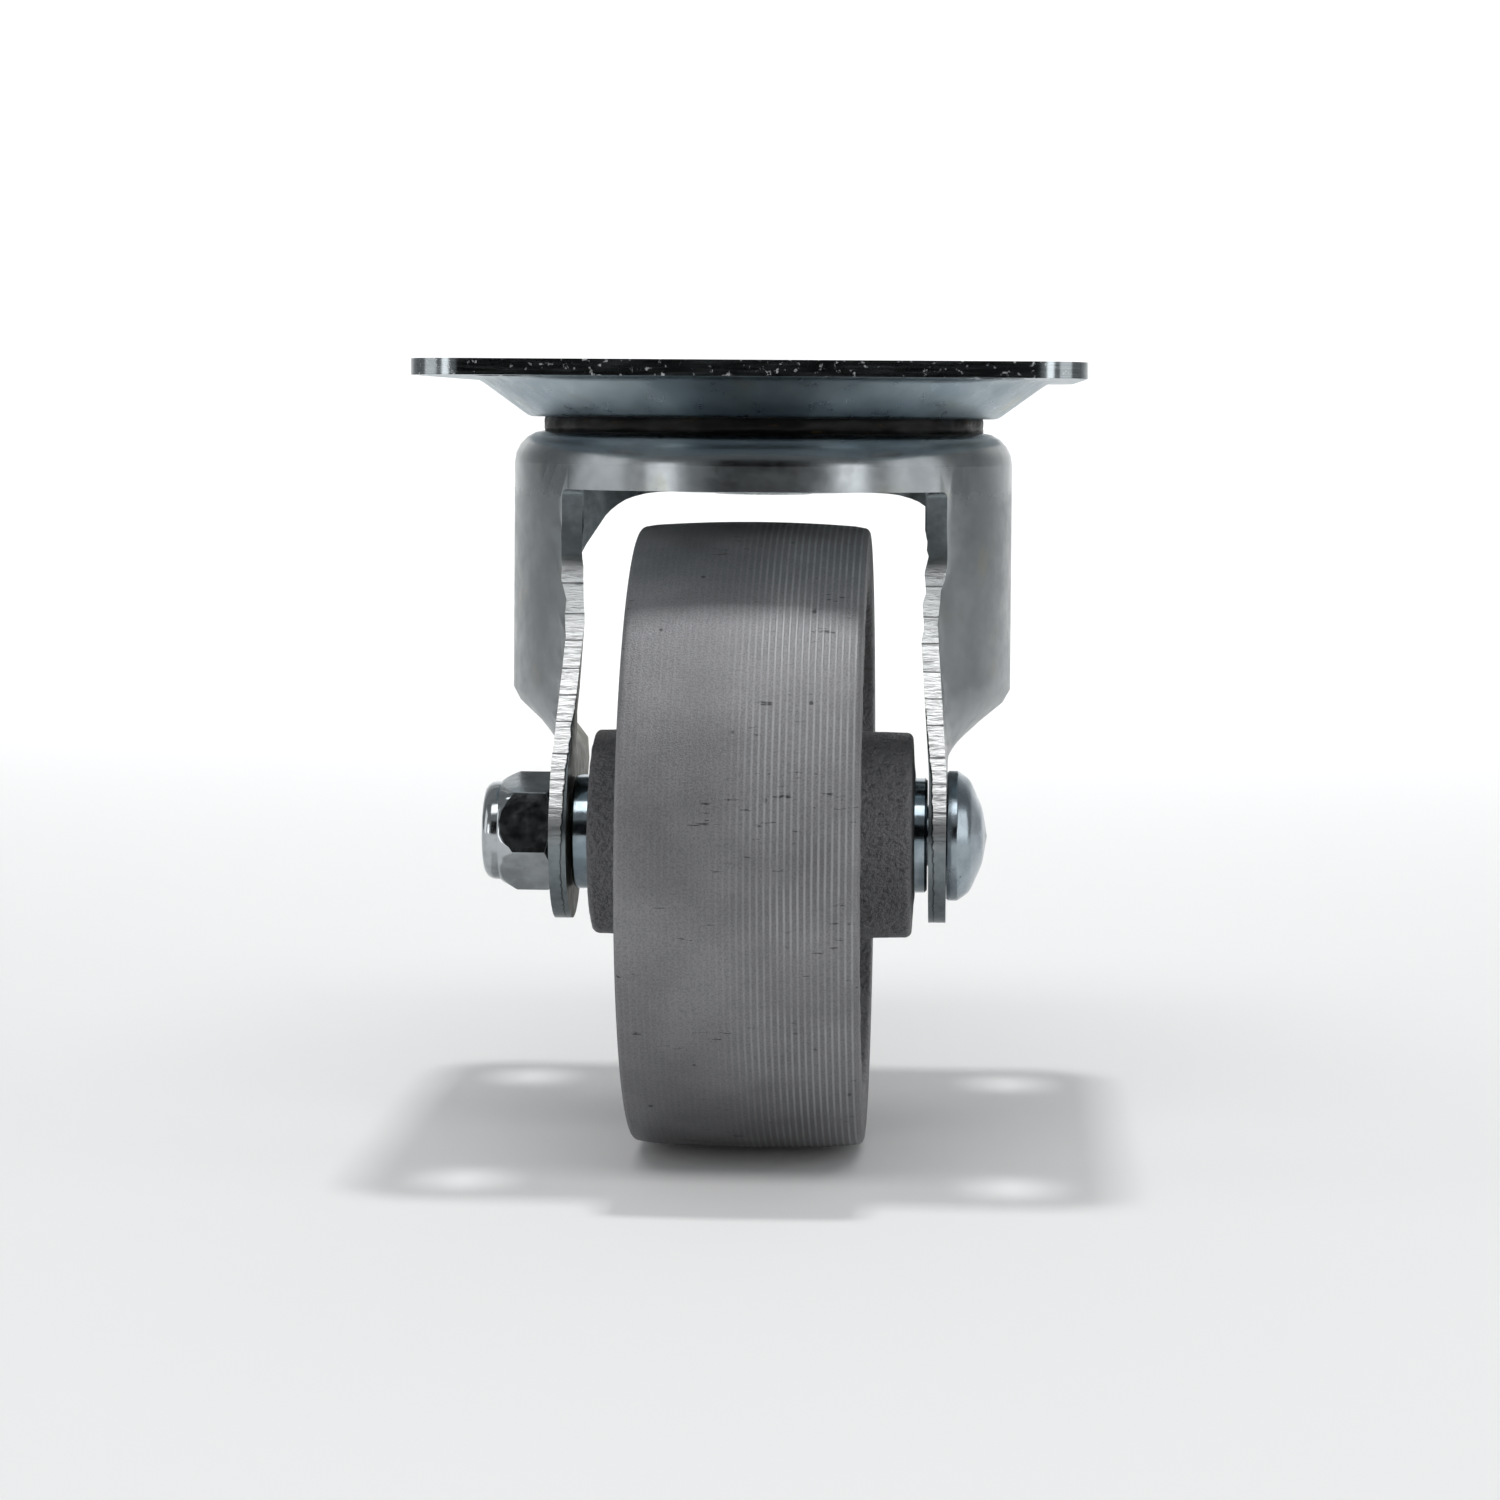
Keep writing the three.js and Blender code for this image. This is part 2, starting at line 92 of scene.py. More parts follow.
def linear(hex_colour):
    """sRGB hex to linear RGBA."""
    values = [int(hex_colour[i:i + 2], 16) / 255 for i in (1, 3, 5)]
    return [v / 12.92 if v < 0.04045 else ((v + 0.055) / 1.055) ** 2.4 for v in values] + [1.0]


def wire(tree, node, inputs):
    """Links each input that is given as a socket, and sets each other one."""
    for key, value in inputs.items():
        if isinstance(value, bpy.types.NodeSocket):
            tree.links.new(value, node.inputs[key])
        else:
            node.inputs[key].default_value = value


def add(tree, kind, inputs, out=0, **settings):
    """Adds a shader node with its settings and links, and gives the output that is asked for."""
    made = tree.nodes.new("ShaderNode" + kind)
    for key, value in settings.items():
        setattr(made, key, value)
    wire(tree, made, inputs)
    return made.outputs[out]


# A map range reads between inputs 1 and 2 and gives 3 to 4, which are 0 to 1 unless they are
# stated. A colour mix goes from input 6 to input 7 as input 0 rises.
SMOOTH = {"interpolation_type": "SMOOTHSTEP"}
COLOUR = {"out": 2, "data_type": "RGBA"}


def new_material(name):
    """An empty material: its tree, its shader, and the object's own coordinates in millimetres."""
    made = bpy.data.materials.new(name)
    made.use_nodes = True
    tree = made.node_tree
    place = add(tree, "TexCoord", {}, "Object")
    mm = add(tree, "VectorMath", {0: place, "Scale": 1 / MM}, operation="SCALE")
    return made, tree, tree.nodes["Principled BSDF"], mm


def studio_paint(name, hex_colour):
    """Matt emulsion with the faint mottling of a roller, in patches of a quarter of a metre."""
    made, tree, shader, mm = new_material(name)
    cloud = add(tree, "TexNoise", {"Vector": mm, "Scale": 0.004})
    faded = [c * 0.985 for c in linear(hex_colour)[:3]] + [1]
    colour = add(tree, "Mix", {0: cloud, 6: linear(hex_colour), 7: faded}, **COLOUR)
    wire(tree, shader, {"Base Color": colour, "Roughness": 0.95, "Specular IOR Level": 0.2})
    return made


def studio_sweep():
    """A pale floor that curves up into a back wall far behind the caster."""
    floor_gap = 0.3 * MM
    floor_z = wheel_low.z - floor_gap
    radius, front, back, half, top, steps = 0.8, -2.4, 1.5, 3.5, 3.2, 12
    profile = [(front, floor_z), (back, floor_z)]
    for step in range(1, steps + 1):
        t = step * math.pi / (2 * steps)
        profile.append((back + radius * math.sin(t), floor_z + radius * (1 - math.cos(t))))
    profile.append((back + radius, floor_z + top))
    mesh = bpy.data.meshes.new("studio_sweep")
    n = len(profile)
    mesh.from_pydata([(x, y, z) for x in (-half, half) for y, z in profile], [],
                     [(i, n + i, n + i + 1, i + 1) for i in range(n - 1)])
    mesh.shade_smooth()
    sweep = bpy.data.objects.new("studio_sweep", mesh)
    bpy.context.scene.collection.objects.link(sweep)
    mesh.materials.append(studio_paint("white_emulsion", "#f6f6f6"))
    return sweep


def black_flag():
    """Black cloth on a frame behind the camera: upright metal goes dark where it mirrors it."""
    mesh = bpy.data.meshes.new("black_flag")
    x, low, high, behind = 0.52, -0.26, 0.50, 0.5
    mesh.from_pydata([(-x, 0, low), (x, 0, low), (x, 0, high), (-x, 0, high)], [], [(0, 1, 2, 3)])
    flag = bpy.data.objects.new("black_flag", mesh)
    bpy.context.scene.collection.objects.link(flag)
    flag.location = (eye.x, eye.y - behind, eye.z)
    mesh.materials.append(studio_paint("black_velvet", "#040404"))
    return flag


studio_sweep()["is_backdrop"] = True
black_flag()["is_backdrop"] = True

middle = (Vector(cad_low) + Vector(cad_high)) / 2


def softbox(name, place, aim, width, height, watts):
    """A rectangular lamp, in metres, that faces the point it is aimed at."""
    light = bpy.data.lights.new(name, "AREA")
    light.shape = "RECTANGLE"
    light.size = width
    light.size_y = height
    light.energy = watts
    made = bpy.data.objects.new(name, light)
    made.location = place
    made.rotation_euler = (Vector(aim) - Vector(place)).to_track_quat("-Z", "Y").to_euler()
    bpy.context.scene.collection.objects.link(made)


softbox("high_lamp", (0.0, 0.14, 1.15), middle, width=0.09, height=0.09, watts=4.8)
softbox("top_softbox", (0.0, -0.70, 0.95), middle, width=1.1, height=0.45, watts=5)
softbox("left_softbox", (-1.15, -0.30, 0.15), middle, width=0.6, height=0.9, watts=2.0)
softbox("right_softbox", (1.15, -0.30, 0.15), middle, width=0.6, height=0.9, watts=2.2)
softbox("left_front_softbox", (-0.98, -1.05, 0.0), middle, width=0.35, height=0.6, watts=1.7)
softbox("right_front_softbox", (0.98, -1.05, 0.0), middle, width=0.35, height=0.6, watts=1.9)
softbox("back_wall_light", (0.0, 1.0, 1.2), (0.0, 2.2, 0.2), width=2.4, height=0.6, watts=24)

world = bpy.data.worlds.new("studio_room")
bpy.context.scene.world = world
world.use_nodes = True
wire(world.node_tree, world.node_tree.nodes["Background"],
     {"Color": linear("#e8ebed"), "Strength": 0.33})
bpy.context.scene.view_settings.view_transform = "Standard"

# ---- mounting plate -------------------------------------------------------------------------
# Blanked and pressed low-carbon steel sheet, then barrel plated in zinc. The flat faces keep the
# rolled sheet's fine grain; the blanked edge was coined smooth, and mirrors the room.


def zinc_on_sheet(name, hex_dark, hex_light, hex_warm, smooth, dull, shiny_above=1.0):
    """Zinc plate with bluish passivation on rolled sheet: satin metal in soft clouds 20 mm wide,
    pale blue with a hint of yellow, a fine 0.3 mm grain, and small rubbed specks. Above the
    height shiny_above, in mm, the drawing die has ironed the sheet, and it is glossier."""
    made, tree, shader, mm = new_material(name)
    cloud = add(tree, "TexNoise", {"Vector": mm, "Scale": 0.05, "Detail": 4.0, "Roughness": 0.6})
    cloudy = add(tree, "MapRange", {0: cloud, 1: 0.35, 2: 0.62}, **SMOOTH)
    tint = add(tree, "Mix", {0: cloudy, 6: linear(hex_dark), 7: linear(hex_light)}, **COLOUR)
    drift = add(tree, "TexNoise", {"Vector": mm, "Scale": 0.11})
    warm = add(tree, "MapRange", {0: drift, 1: 0.58, 2: 0.76, 4: 0.45}, **SMOOTH)
    tint = add(tree, "Mix", {0: warm, 6: tint, 7: linear(hex_warm)}, **COLOUR)
    dots = add(tree, "TexNoise", {"Vector": mm, "Scale": 1.6, "Detail": 5.0, "Roughness": 0.7})
    dots = add(tree, "MapRange", {0: dots, 1: 0.67, 2: 0.74}, **SMOOTH)
    area = add(tree, "TexNoise", {"Vector": mm, "Scale": 0.16})
    area = add(tree, "MapRange", {0: area, 1: 0.5, 2: 0.64}, **SMOOTH)
    speck = add(tree, "Math", {0: dots, 1: area}, operation="MULTIPLY")
    faint = add(tree, "Math", {0: speck, 1: 0.55}, operation="MULTIPLY")
    tint = add(tree, "Mix", {0: faint, 6: tint, 7: linear("#34383a")}, **COLOUR)
    satin = add(tree, "TexNoise", {"Vector": mm, "Scale": 0.35, "Detail": 5.0, "Roughness": 0.65})
    satin = add(tree, "MapRange", {0: satin, 1: 0.3, 2: 0.7, 3: smooth, 4: dull}, **SMOOTH)
    height = add(tree, "SeparateXYZ", {0: mm}, "Z")
    ironed = {1: shiny_above - 3, 2: shiny_above + 1, 3: 1.0, 4: 0.68}
    gloss = add(tree, "MapRange", {0: height, **ironed}, **SMOOTH)
    satin = add(tree, "Math", {0: satin, 1: gloss}, operation="MULTIPLY")
    rough = add(tree, "Math", {0: speck, 1: 0.2, 2: satin}, operation="MULTIPLY_ADD")
    wave = add(tree, "TexNoise", {"Vector": mm, "Scale": 0.12})
    fine = add(tree, "TexNoise", {"Vector": mm, "Scale": 3.2, "Detail": 3.0})
    relief = add(tree, "Bump", {"Height": wave, "Distance": 0.05 * MM, "Strength": 0.3})
    relief = add(tree, "Bump", {"Height": fine, "Distance": 0.005 * MM, "Strength": 0.35,
                                "Normal": relief})
    relief = add(tree, "Bump", {"Height": speck, "Distance": 0.01 * MM, "Strength": -0.3,
                                "Normal": relief})
    wire(tree, shader, {"Base Color": tint, "Metallic": 1.0, "Roughness": rough, "Normal": relief})
    return made


def coined_zinc():
    """Zinc over an edge that the die ironed smooth: near mirror, with fine lines along the edge
    and short bright or dark nicks, 0.5 mm wide, from handling."""
    made, tree, shader, mm = new_material("coined_zinc_edge")
    along = add(tree, "VectorMath", {0: mm, 1: (0.12, 0.12, 2.5)}, operation="MULTIPLY")
    line = add(tree, "TexNoise", {"Vector": along, "Scale": 1.0, "Detail": 4.0, "Roughness": 0.6})
    nick = add(tree, "TexNoise", {"Vector": mm, "Scale": 0.9, "Detail": 4.0, "Roughness": 0.65})
    nick = add(tree, "MapRange", {0: nick, 1: 0.60, 2: 0.67}, **SMOOTH)
    tint = add(tree, "Mix", {0: line, 6: linear("#70777a"), 7: linear("#a3a9ac")}, **COLOUR)
    tint = add(tree, "Mix", {0: nick, 6: tint, 7: linear("#c4c7c8")}, **COLOUR)
    rough = add(tree, "MapRange", {0: line, 1: 0.3, 2: 0.7, 3: 0.10, 4: 0.20})
    rough = add(tree, "Math", {0: nick, 1: 0.35, 2: rough}, operation="MULTIPLY_ADD")
    wave = add(tree, "TexNoise", {"Vector": mm, "Scale": 0.25})
    relief = add(tree, "Bump", {"Height": wave, "Distance": 0.04 * MM, "Strength": 0.4})
    relief = add(tree, "Bump", {"Height": line, "Distance": 0.01 * MM, "Strength": 0.4,
                                "Normal": relief})
    relief = add(tree, "Bump", {"Height": nick, "Distance": 0.06 * MM, "Strength": -0.7,
                                "Normal": relief})
    wire(tree, shader, {"Base Color": tint, "Metallic": 1.0, "Roughness": rough, "Normal": relief})
    return made


WELD = 0.002 * MM
FLAT_FOLD = 1e-3
CORNER_ANGLE = 48


def finished_copy(node, body, materials, choose, round_mm=0.25, seams=28, weigh=True):
    """The CAD node's own surface with its corners broken and its faces sorted by finish. weigh
    lets long flat faces keep their own normal, so only the broken corners look round."""
    work = bmesh.new()
    work.from_mesh(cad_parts[node].data)
    bmesh.ops.remove_doubles(work, verts=work.verts, dist=WELD)
    work.normal_update()
    flat = [e for e in work.edges if e.is_manifold and e.calc_face_angle() < FLAT_FOLD]
    bmesh.ops.dissolve_edges(work, edges=flat, use_verts=False)
    work.normal_update()
    for face in work.faces:
        face.material_index = choose(face)
    if round_mm:
        sharp = [e for e in work.edges
                 if e.is_manifold and math.degrees(e.calc_face_angle()) > CORNER_ANGLE]
        bmesh.ops.bevel(work, geom=sharp, offset=round_mm * MM, segments=2, profile=0.6,
                        affect="EDGES", clamp_overlap=True, material=-1)
    mesh = bpy.data.meshes.new(node + "_finish")
    work.to_mesh(mesh)
    work.free()
    mesh.shade_smooth()
    mesh.set_sharp_from_angle(angle=math.radians(seams))
    made = bpy.data.objects.new(node + "_finish", mesh)
    bpy.context.scene.collection.objects.link(made)
    for material in materials:
        mesh.materials.append(material)
    if weigh:
        made.modifiers.new("face_weighted_normals", "WEIGHTED_NORMAL").keep_sharp = True
    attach(made, body)
    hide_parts(node)


plate_high = Vector(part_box("mounting_plate")[1])
SLOT_ZONE = Vector((33.5, 34.0)) * MM


def plate_face(face):
    """1 on the blanked outer edge and in the slots, 0 on the sheet's faces."""
    c = face.calc_center_median()
    upright = abs(face.normal.z) < 0.2
    in_slot = abs(c.x) > SLOT_ZONE.x and abs(c.y) > SLOT_ZONE.y
    at_edge = abs(c.x) > plate_high.x - MM or abs(c.y) > plate_high.y - MM
    return int(upright and (in_slot or at_edge))


plate_zinc = zinc_on_sheet("blue_zinc_on_pressed_plate", "#8797a0", "#9caab1", "#9a9c86",
                           smooth=0.26, dull=0.38)
plate_edge = coined_zinc()
finished_copy("mounting_plate", "plate", [plate_zinc, plate_edge], plate_face,
              round_mm=0.4)

# ---- kingpin and lower race cup -------------------------------------------------------------
# A cold-headed steel rivet holds plate, crown and cup together; its formed head shows the press
# tool's rings. The cup is pressed from sheet and carries the lower ring of balls. Both are zinc
# plated.


def headed_zinc():
    """Zinc on a cold-headed rivet: brighter than sheet, with rings 2 mm apart from the tool."""
    made, tree, shader, mm = new_material("zinc_on_cold_headed_rivet")
    ring = add(tree, "TexWave", {"Vector": mm, "Scale": 0.16, "Distortion": 1.2, "Detail": 3.0},
               wave_type="RINGS", rings_direction="Z")
    cloud = add(tree, "TexNoise", {"Vector": mm, "Scale": 0.3, "Detail": 4.0})
    tint = add(tree, "Mix", {0: cloud, 6: linear("#8d9497"), 7: linear("#b3b9bc")}, **COLOUR)
    satin = add(tree, "TexNoise", {"Vector": mm, "Scale": 1.1, "Detail": 4.0})
    rough = add(tree, "MapRange", {0: satin, 1: 0.3, 2: 0.7, 3: 0.20, 4: 0.38}, **SMOOTH)
    relief = add(tree, "Bump", {"Height": ring, "Distance": 0.02 * MM, "Strength": 0.5})
    relief = add(tree, "Bump", {"Height": cloud, "Distance": 0.08 * MM, "Strength": 0.4,
                                "Normal": relief})
    wire(tree, shader, {"Base Color": tint, "Metallic": 1.0, "Roughness": rough, "Normal": relief})
    return made


def one_finish(face):
    """Every face takes the piece's only material."""
    return 0


cup_zinc = zinc_on_sheet("blue_zinc_on_race_cup", "#869195", "#98a3a7", "#93957f",
                         smooth=0.26, dull=0.42)
finished_copy("kingpin", "plate", [headed_zinc()], one_finish,
              round_mm=0, seams=50)
finished_copy("lower_race_cup", "plate", [cup_zinc], one_finish,
              round_mm=0.2, seams=40)

# ---- bearing balls and grease ---------------------------------------------------------------
# Polished balls packed in lithium grease that has gone nearly black; it fills the gap between the
# plate and the crown as an uneven glossy band, with a trace of amber where it is thin.


def ball_steel():
    """Polished chrome steel under a film of grease: near mirror, smeared brown in 2 mm patches."""
    made, tree, shader, mm = new_material("greased_ball_steel")
    smear = add(tree, "TexNoise", {"Vector": mm, "Scale": 0.5, "Detail": 3.0})
    smear = add(tree, "MapRange", {0: smear, 1: 0.42, 2: 0.58}, **SMOOTH)
    tint = add(tree, "Mix", {0: smear, 6: linear("#b9bbbd"), 7: linear("#35291a")}, **COLOUR)
    rough = add(tree, "MapRange", {0: smear, 3: 0.10, 4: 0.35})
    relief = add(tree, "Bump", {"Height": smear, "Distance": 0.03 * MM, "Strength": 0.4})
    wire(tree, shader, {"Base Color": tint, "Metallic": 1.0, "Roughness": rough, "Normal": relief})
    return made


greased_steel = ball_steel()
for name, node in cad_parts.items():
    if "_ball_" in name:
        node.data.materials.clear()
        node.data.materials.append(greased_steel)
        node.data.shade_smooth()


def dark_grease():
    """Used bearing grease: nearly black, wet gloss in streaks along the gap, faintly amber."""
    made, tree, shader, mm = new_material("used_lithium_grease")
    along = add(tree, "VectorMath", {0: mm, 1: (0.3, 0.3, 1.0)}, operation="MULTIPLY")
    streak = add(tree, "TexNoise", {"Vector": along, "Scale": 0.7, "Detail": 4.0, "Roughness": 0.6})
    thin = add(tree, "MapRange", {0: streak, 1: 0.56, 2: 0.72, 4: 0.8}, **SMOOTH)
    tint = add(tree, "Mix", {0: thin, 6: linear("#060505"), 7: linear("#3a2b10")}, **COLOUR)
    rough = add(tree, "MapRange", {0: streak, 1: 0.3, 2: 0.7, 3: 0.35, 4: 0.6}, **SMOOTH)
    fine = add(tree, "TexNoise", {"Vector": mm, "Scale": 0.8})
    relief = add(tree, "Bump", {"Height": streak, "Distance": 0.12 * MM, "Strength": 0.5})
    relief = add(tree, "Bump", {"Height": fine, "Distance": 0.05 * MM, "Strength": 0.3,
                                "Normal": relief})
    wire(tree, shader, {"Base Color": tint, "Roughness": rough, "IOR": 1.48, "Specular IOR Level": 0.2,
                        "Normal": relief})
    return made


def grease_band():
    """An uneven ring squeezed out between the plate's dish floor and the crown."""
    outer, inner, low, high = 37.5, 34.6, -11.8, -8.7
    turns, rows = 360, 9
    edge_fall, lump_height, ripple_height = 0.5, 0.45, 0.10
    points, faces = [], []
    for i in range(turns):
        t = 2 * math.pi * i / turns
        side = Vector((math.cos(t), math.sin(t), 0))
        for k in range(rows):
            s = k / (rows - 1)
            lump = noise.noise(side * 7 + Vector((0, 0, s * 1.2)))
            ripple = noise.noise(side * 26 + Vector((0, 0, s * 3 + 7)))
            r = outer - edge_fall * abs(2 * s - 1) ** 3 + lump_height * lump + ripple_height * ripple
            points.append(side * r * MM + Vector((0, 0, (low + (high - low) * s) * MM)))
        points.append(side * inner * MM + Vector((0, 0, high * MM)))
        points.append(side * inner * MM + Vector((0, 0, low * MM)))
    ring = rows + 2
    for i in range(turns):
        j = (i + 1) % turns
        for k in range(ring):
            m = (k + 1) % ring
            faces.append((i * ring + k, i * ring + m, j * ring + m, j * ring + k))
    mesh = bpy.data.meshes.new("race_grease")
    mesh.from_pydata(points, [], faces)
    mesh.shade_smooth()
    mesh.materials.append(dark_grease())
    made = bpy.data.objects.new("race_grease", mesh)
    bpy.context.scene.collection.objects.link(made)
    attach(made, "balls")


grease_band()

# ---- fork -----------------------------------------------------------------------------------
# One blank of 2.8 mm sheet drawn into a round crown with two legs, trimmed in a press. The legs'
# trimmed edges face the trailing side: smooth under the crown, then torn, and below the kink
# painted near white as a highlight where they tilt up to the lamp. The drawn flanks are dull and
# cloudy, and the crown is glossy where the die ironed it.

LEG_TOP_X, LEG_FOOT_X = 29.5, 31.9
LEG_KINK_Z, LEG_FOOT_Z = -34.0, -66.0
LIP_Z = -21.0
AXLE_Z = wheel_centre.z / MM
SHEAR_STEP = 4.4
LIP_DEPTH = 1.6
AXLE_HOLE_R = 6


def trimmed_zinc():
    """Zinc over a press-trimmed edge: torn metal in fine ridges 0.6 mm apart, painted near white as
    a highlight between the kink and just above the axle, where the edge tilts up to the lamp; cut
    by a dark line every 4.4 mm where the punch bit again, a thin dark seam and a duller strip
    inside. It is smooth and without the highlight near the crown and around the axle."""
    made, tree, shader, mm = new_material("sheared_zinc_leg_edge")
    across = add(tree, "Math", {0: add(tree, "SeparateXYZ", {0: mm}, "X")}, operation="ABSOLUTE")
    height = add(tree, "SeparateXYZ", {0: mm}, "Z")
    outside = add(tree, "MapRange", {0: height, 1: LEG_FOOT_Z, 2: LEG_KINK_Z,
                                     3: LEG_FOOT_X, 4: LEG_TOP_X})
    depth = add(tree, "Math", {0: outside, 1: across}, operation="SUBTRACT")
    ragged = add(tree, "TexNoise", {"Vector": mm, "Scale": 0.8, "Detail": 3.0})
    reach = add(tree, "MapRange", {0: height, 1: AXLE_Z - 4, 2: LEG_KINK_Z - 14, 3: 1.1, 4: 2.3})
    reach = add(tree, "Math", {0: ragged, 1: 0.8, 2: reach}, operation="MULTIPLY_ADD")
    inset = add(tree, "Math", {0: depth, 1: reach}, operation="SUBTRACT")
    torn = add(tree, "MapRange", {0: inset, 1: 0.45, 2: 0.25}, **SMOOTH)
    seam = add(tree, "MapRange", {0: inset, 1: 0.45, 2: 0.70, 3: 1.0, 4: 0.0}, **SMOOTH)
    seam = add(tree, "Math", {0: seam, 1: torn}, operation="SUBTRACT", use_clamp=True)
    # the torn metal is bright only in the band from the kink to just above the axle, where the edge
    # tilts up to the lamp: a painted highlight
    below = add(tree, "MapRange", {0: height, 1: LEG_KINK_Z + 2.5, 2: LEG_KINK_Z - 0.5}, **SMOOTH)
    above = add(tree, "MapRange", {0: height, 1: AXLE_Z - 3, 2: AXLE_Z + 8}, **SMOOTH)
    lamp_facing_band = add(tree, "Math", {0: below, 1: above}, operation="MULTIPLY")
    torn = add(tree, "Math", {0: torn, 1: lamp_facing_band}, operation="MULTIPLY")
    flat = add(tree, "VectorMath", {0: mm, 1: (0.25, 0.25, 1.6)}, operation="MULTIPLY")
    ridge = add(tree, "TexNoise", {"Vector": flat, "Scale": 1.0, "Detail": 4.0, "Roughness": 0.65})
    step = {"W": height, "Scale": 1 / SHEAR_STEP, "Randomness": 0.35}
    gap = add(tree, "TexVoronoi", step, "Distance", voronoi_dimensions="1D", feature="DISTANCE_TO_EDGE")
    line = add(tree, "MapRange", {0: gap, 1: 0.012, 2: 0.045, 3: 1.0, 4: 0.0}, **SMOOTH)
    line = add(tree, "Math", {0: line, 1: torn}, operation="MULTIPLY")
    smooth = add(tree, "Mix", {0: ragged, 6: linear("#656d70"), 7: linear("#8b9396")}, **COLOUR)
    light = add(tree, "MapRange", {0: ridge, 1: 0.30, 2: 0.52}, **SMOOTH)
    # near-white torn metal: partly the fresh metal's own colour, partly a painted highlight
    bright = add(tree, "Mix", {0: light, 6: linear("#b2b4b4"), 7: linear("#f4f5f5")}, **COLOUR)
    tint = add(tree, "Mix", {0: torn, 6: smooth, 7: bright}, **COLOUR)
    dark = add(tree, "Math", {0: line, 1: seam}, operation="MAXIMUM")
    dark = add(tree, "Math", {0: dark, 1: 0.8}, operation="MULTIPLY")
    dark = add(tree, "Math", {0: dark, 1: below}, operation="MULTIPLY")
    tint = add(tree, "Mix", {0: dark, 6: tint, 7: linear("#242728")}, **COLOUR)
    rough = add(tree, "MapRange", {0: torn, 3: 0.30, 4: 0.38})
    ridges = add(tree, "Math", {0: ridge, 1: torn}, operation="MULTIPLY")
    relief = add(tree, "Bump", {"Height": torn, "Distance": 0.08 * MM, "Strength": 0.4})
    relief = add(tree, "Bump", {"Height": ridges, "Distance": 0.25 * MM, "Strength": 0.7,
                                "Normal": relief})
    relief = add(tree, "Bump", {"Height": line, "Distance": 0.25 * MM, "Strength": -0.8,
                                "Normal": relief})
    relief = add(tree, "Bump", {"Height": ragged, "Distance": 0.05 * MM, "Strength": 0.4,
                                "Normal": relief})
    wire(tree, shader, {"Base Color": tint, "Metallic": 1.0, "Roughness": rough, "Normal": relief})
    return made


def fork_face(face):
    """1 on the legs' trimmed edges, 2 on the lip, 3 inside the left leg, painted darker as shade,
    0 on the other sheet.
    """
    c = face.calc_center_median() / MM
    n = face.normal
    if c.z < LIP_Z - 6 and c.x < 0 and n.x > 0.6:
        return 3
    square_cut = n.y < -0.5 and c.x * n.x < 0 and abs(n.z) < 0.02 and LEG_KINK_Z < c.z < LIP_Z
    in_bore = math.hypot(c.y - wheel_centre.y / MM, c.z - AXLE_Z) < AXLE_HOLE_R
    if in_bore or c.z > LIP_Z + 0.1 or (abs(n.x) > 0.02 and not square_cut):
        return 0
    return 2 if c.z > LIP_Z - LIP_DEPTH and abs(n.z) > 0.9 else 1


fork_zinc = zinc_on_sheet("blue_zinc_on_drawn_fork", "#84898c", "#95999b", "#949484",
                          smooth=0.28, dull=0.40, shiny_above=LIP_Z)
# yellowed zinc inside the left leg: the yellow is the zinc's own, the darkness is painted shade between
# leg and wheel
yellowed_shaded_inner_zinc = zinc_on_sheet("yellowed_zinc_with_painted_shade_in_fork", "#4d5040", "#5b5d47", "#646039",
                           smooth=0.34, dull=0.48)
lip_zinc = coined_zinc()
lip_zinc.name = "coined_zinc_lip"
finished_copy("fork", "fork", [fork_zinc, trimmed_zinc(), lip_zinc, yellowed_shaded_inner_zinc],
              fork_face, round_mm=0.3, seams=24, weigh=False)

# ---- axle: bolt, sleeve, lock nut and insert ------------------------------------------------
# Cold-headed bolt with a conical head, a cut length of steel tube between the legs, and a nylon
# insert nut; all bright zinc, a little bluer and glossier than the pressings.


def bright_zinc(name, hex_dark, hex_light, smooth, dull, turned):
    """Bright zinc on turned or headed steel: glossy, faintly blue, with lines 0.3 mm apart
    around the axle where it was turned, and a few handling marks."""
    made, tree, shader, mm = new_material(name)
    cloud = add(tree, "TexNoise", {"Vector": mm, "Scale": 0.16, "Detail": 4.0, "Roughness": 0.6})
    cloudy = add(tree, "MapRange", {0: cloud, 1: 0.35, 2: 0.65}, **SMOOTH)
    tint = add(tree, "Mix", {0: cloudy, 6: linear(hex_dark), 7: linear(hex_light)}, **COLOUR)
    mark = add(tree, "TexNoise", {"Vector": mm, "Scale": 0.8, "Detail": 5.0, "Roughness": 0.7})
    mark = add(tree, "MapRange", {0: mark, 1: 0.66, 2: 0.72, 4: 0.6}, **SMOOTH)
    tint = add(tree, "Mix", {0: mark, 6: tint, 7: linear("#3a3e41")}, **COLOUR)
    satin = add(tree, "TexNoise", {"Vector": mm, "Scale": 0.6, "Detail": 4.0})
    rough = add(tree, "MapRange", {0: satin, 1: 0.3, 2: 0.7, 3: smooth, 4: dull}, **SMOOTH)
    rough = add(tree, "Math", {0: mark, 1: 0.3, 2: rough}, operation="MULTIPLY_ADD")
    around = add(tree, "VectorMath", {0: mm, 1: (1.0, 0.02, 0.02)}, operation="MULTIPLY")
    lines = add(tree, "TexNoise", {"Vector": around, "Scale": 3.0, "Detail": 3.0})
    fine = add(tree, "TexNoise", {"Vector": mm, "Scale": 1.5, "Detail": 3.0})
    relief = add(tree, "Bump", {"Height": lines, "Distance": 0.02 * MM, "Strength": turned})
    relief = add(tree, "Bump", {"Height": cloud, "Distance": 0.12 * MM, "Strength": 0.3,
                                "Normal": relief})
    relief = add(tree, "Bump", {"Height": fine, "Distance": 0.012 * MM, "Strength": 0.35,
                                "Normal": relief})
    wire(tree, shader, {"Base Color": tint, "Metallic": 1.0, "Roughness": rough, "Normal": relief})
    return made


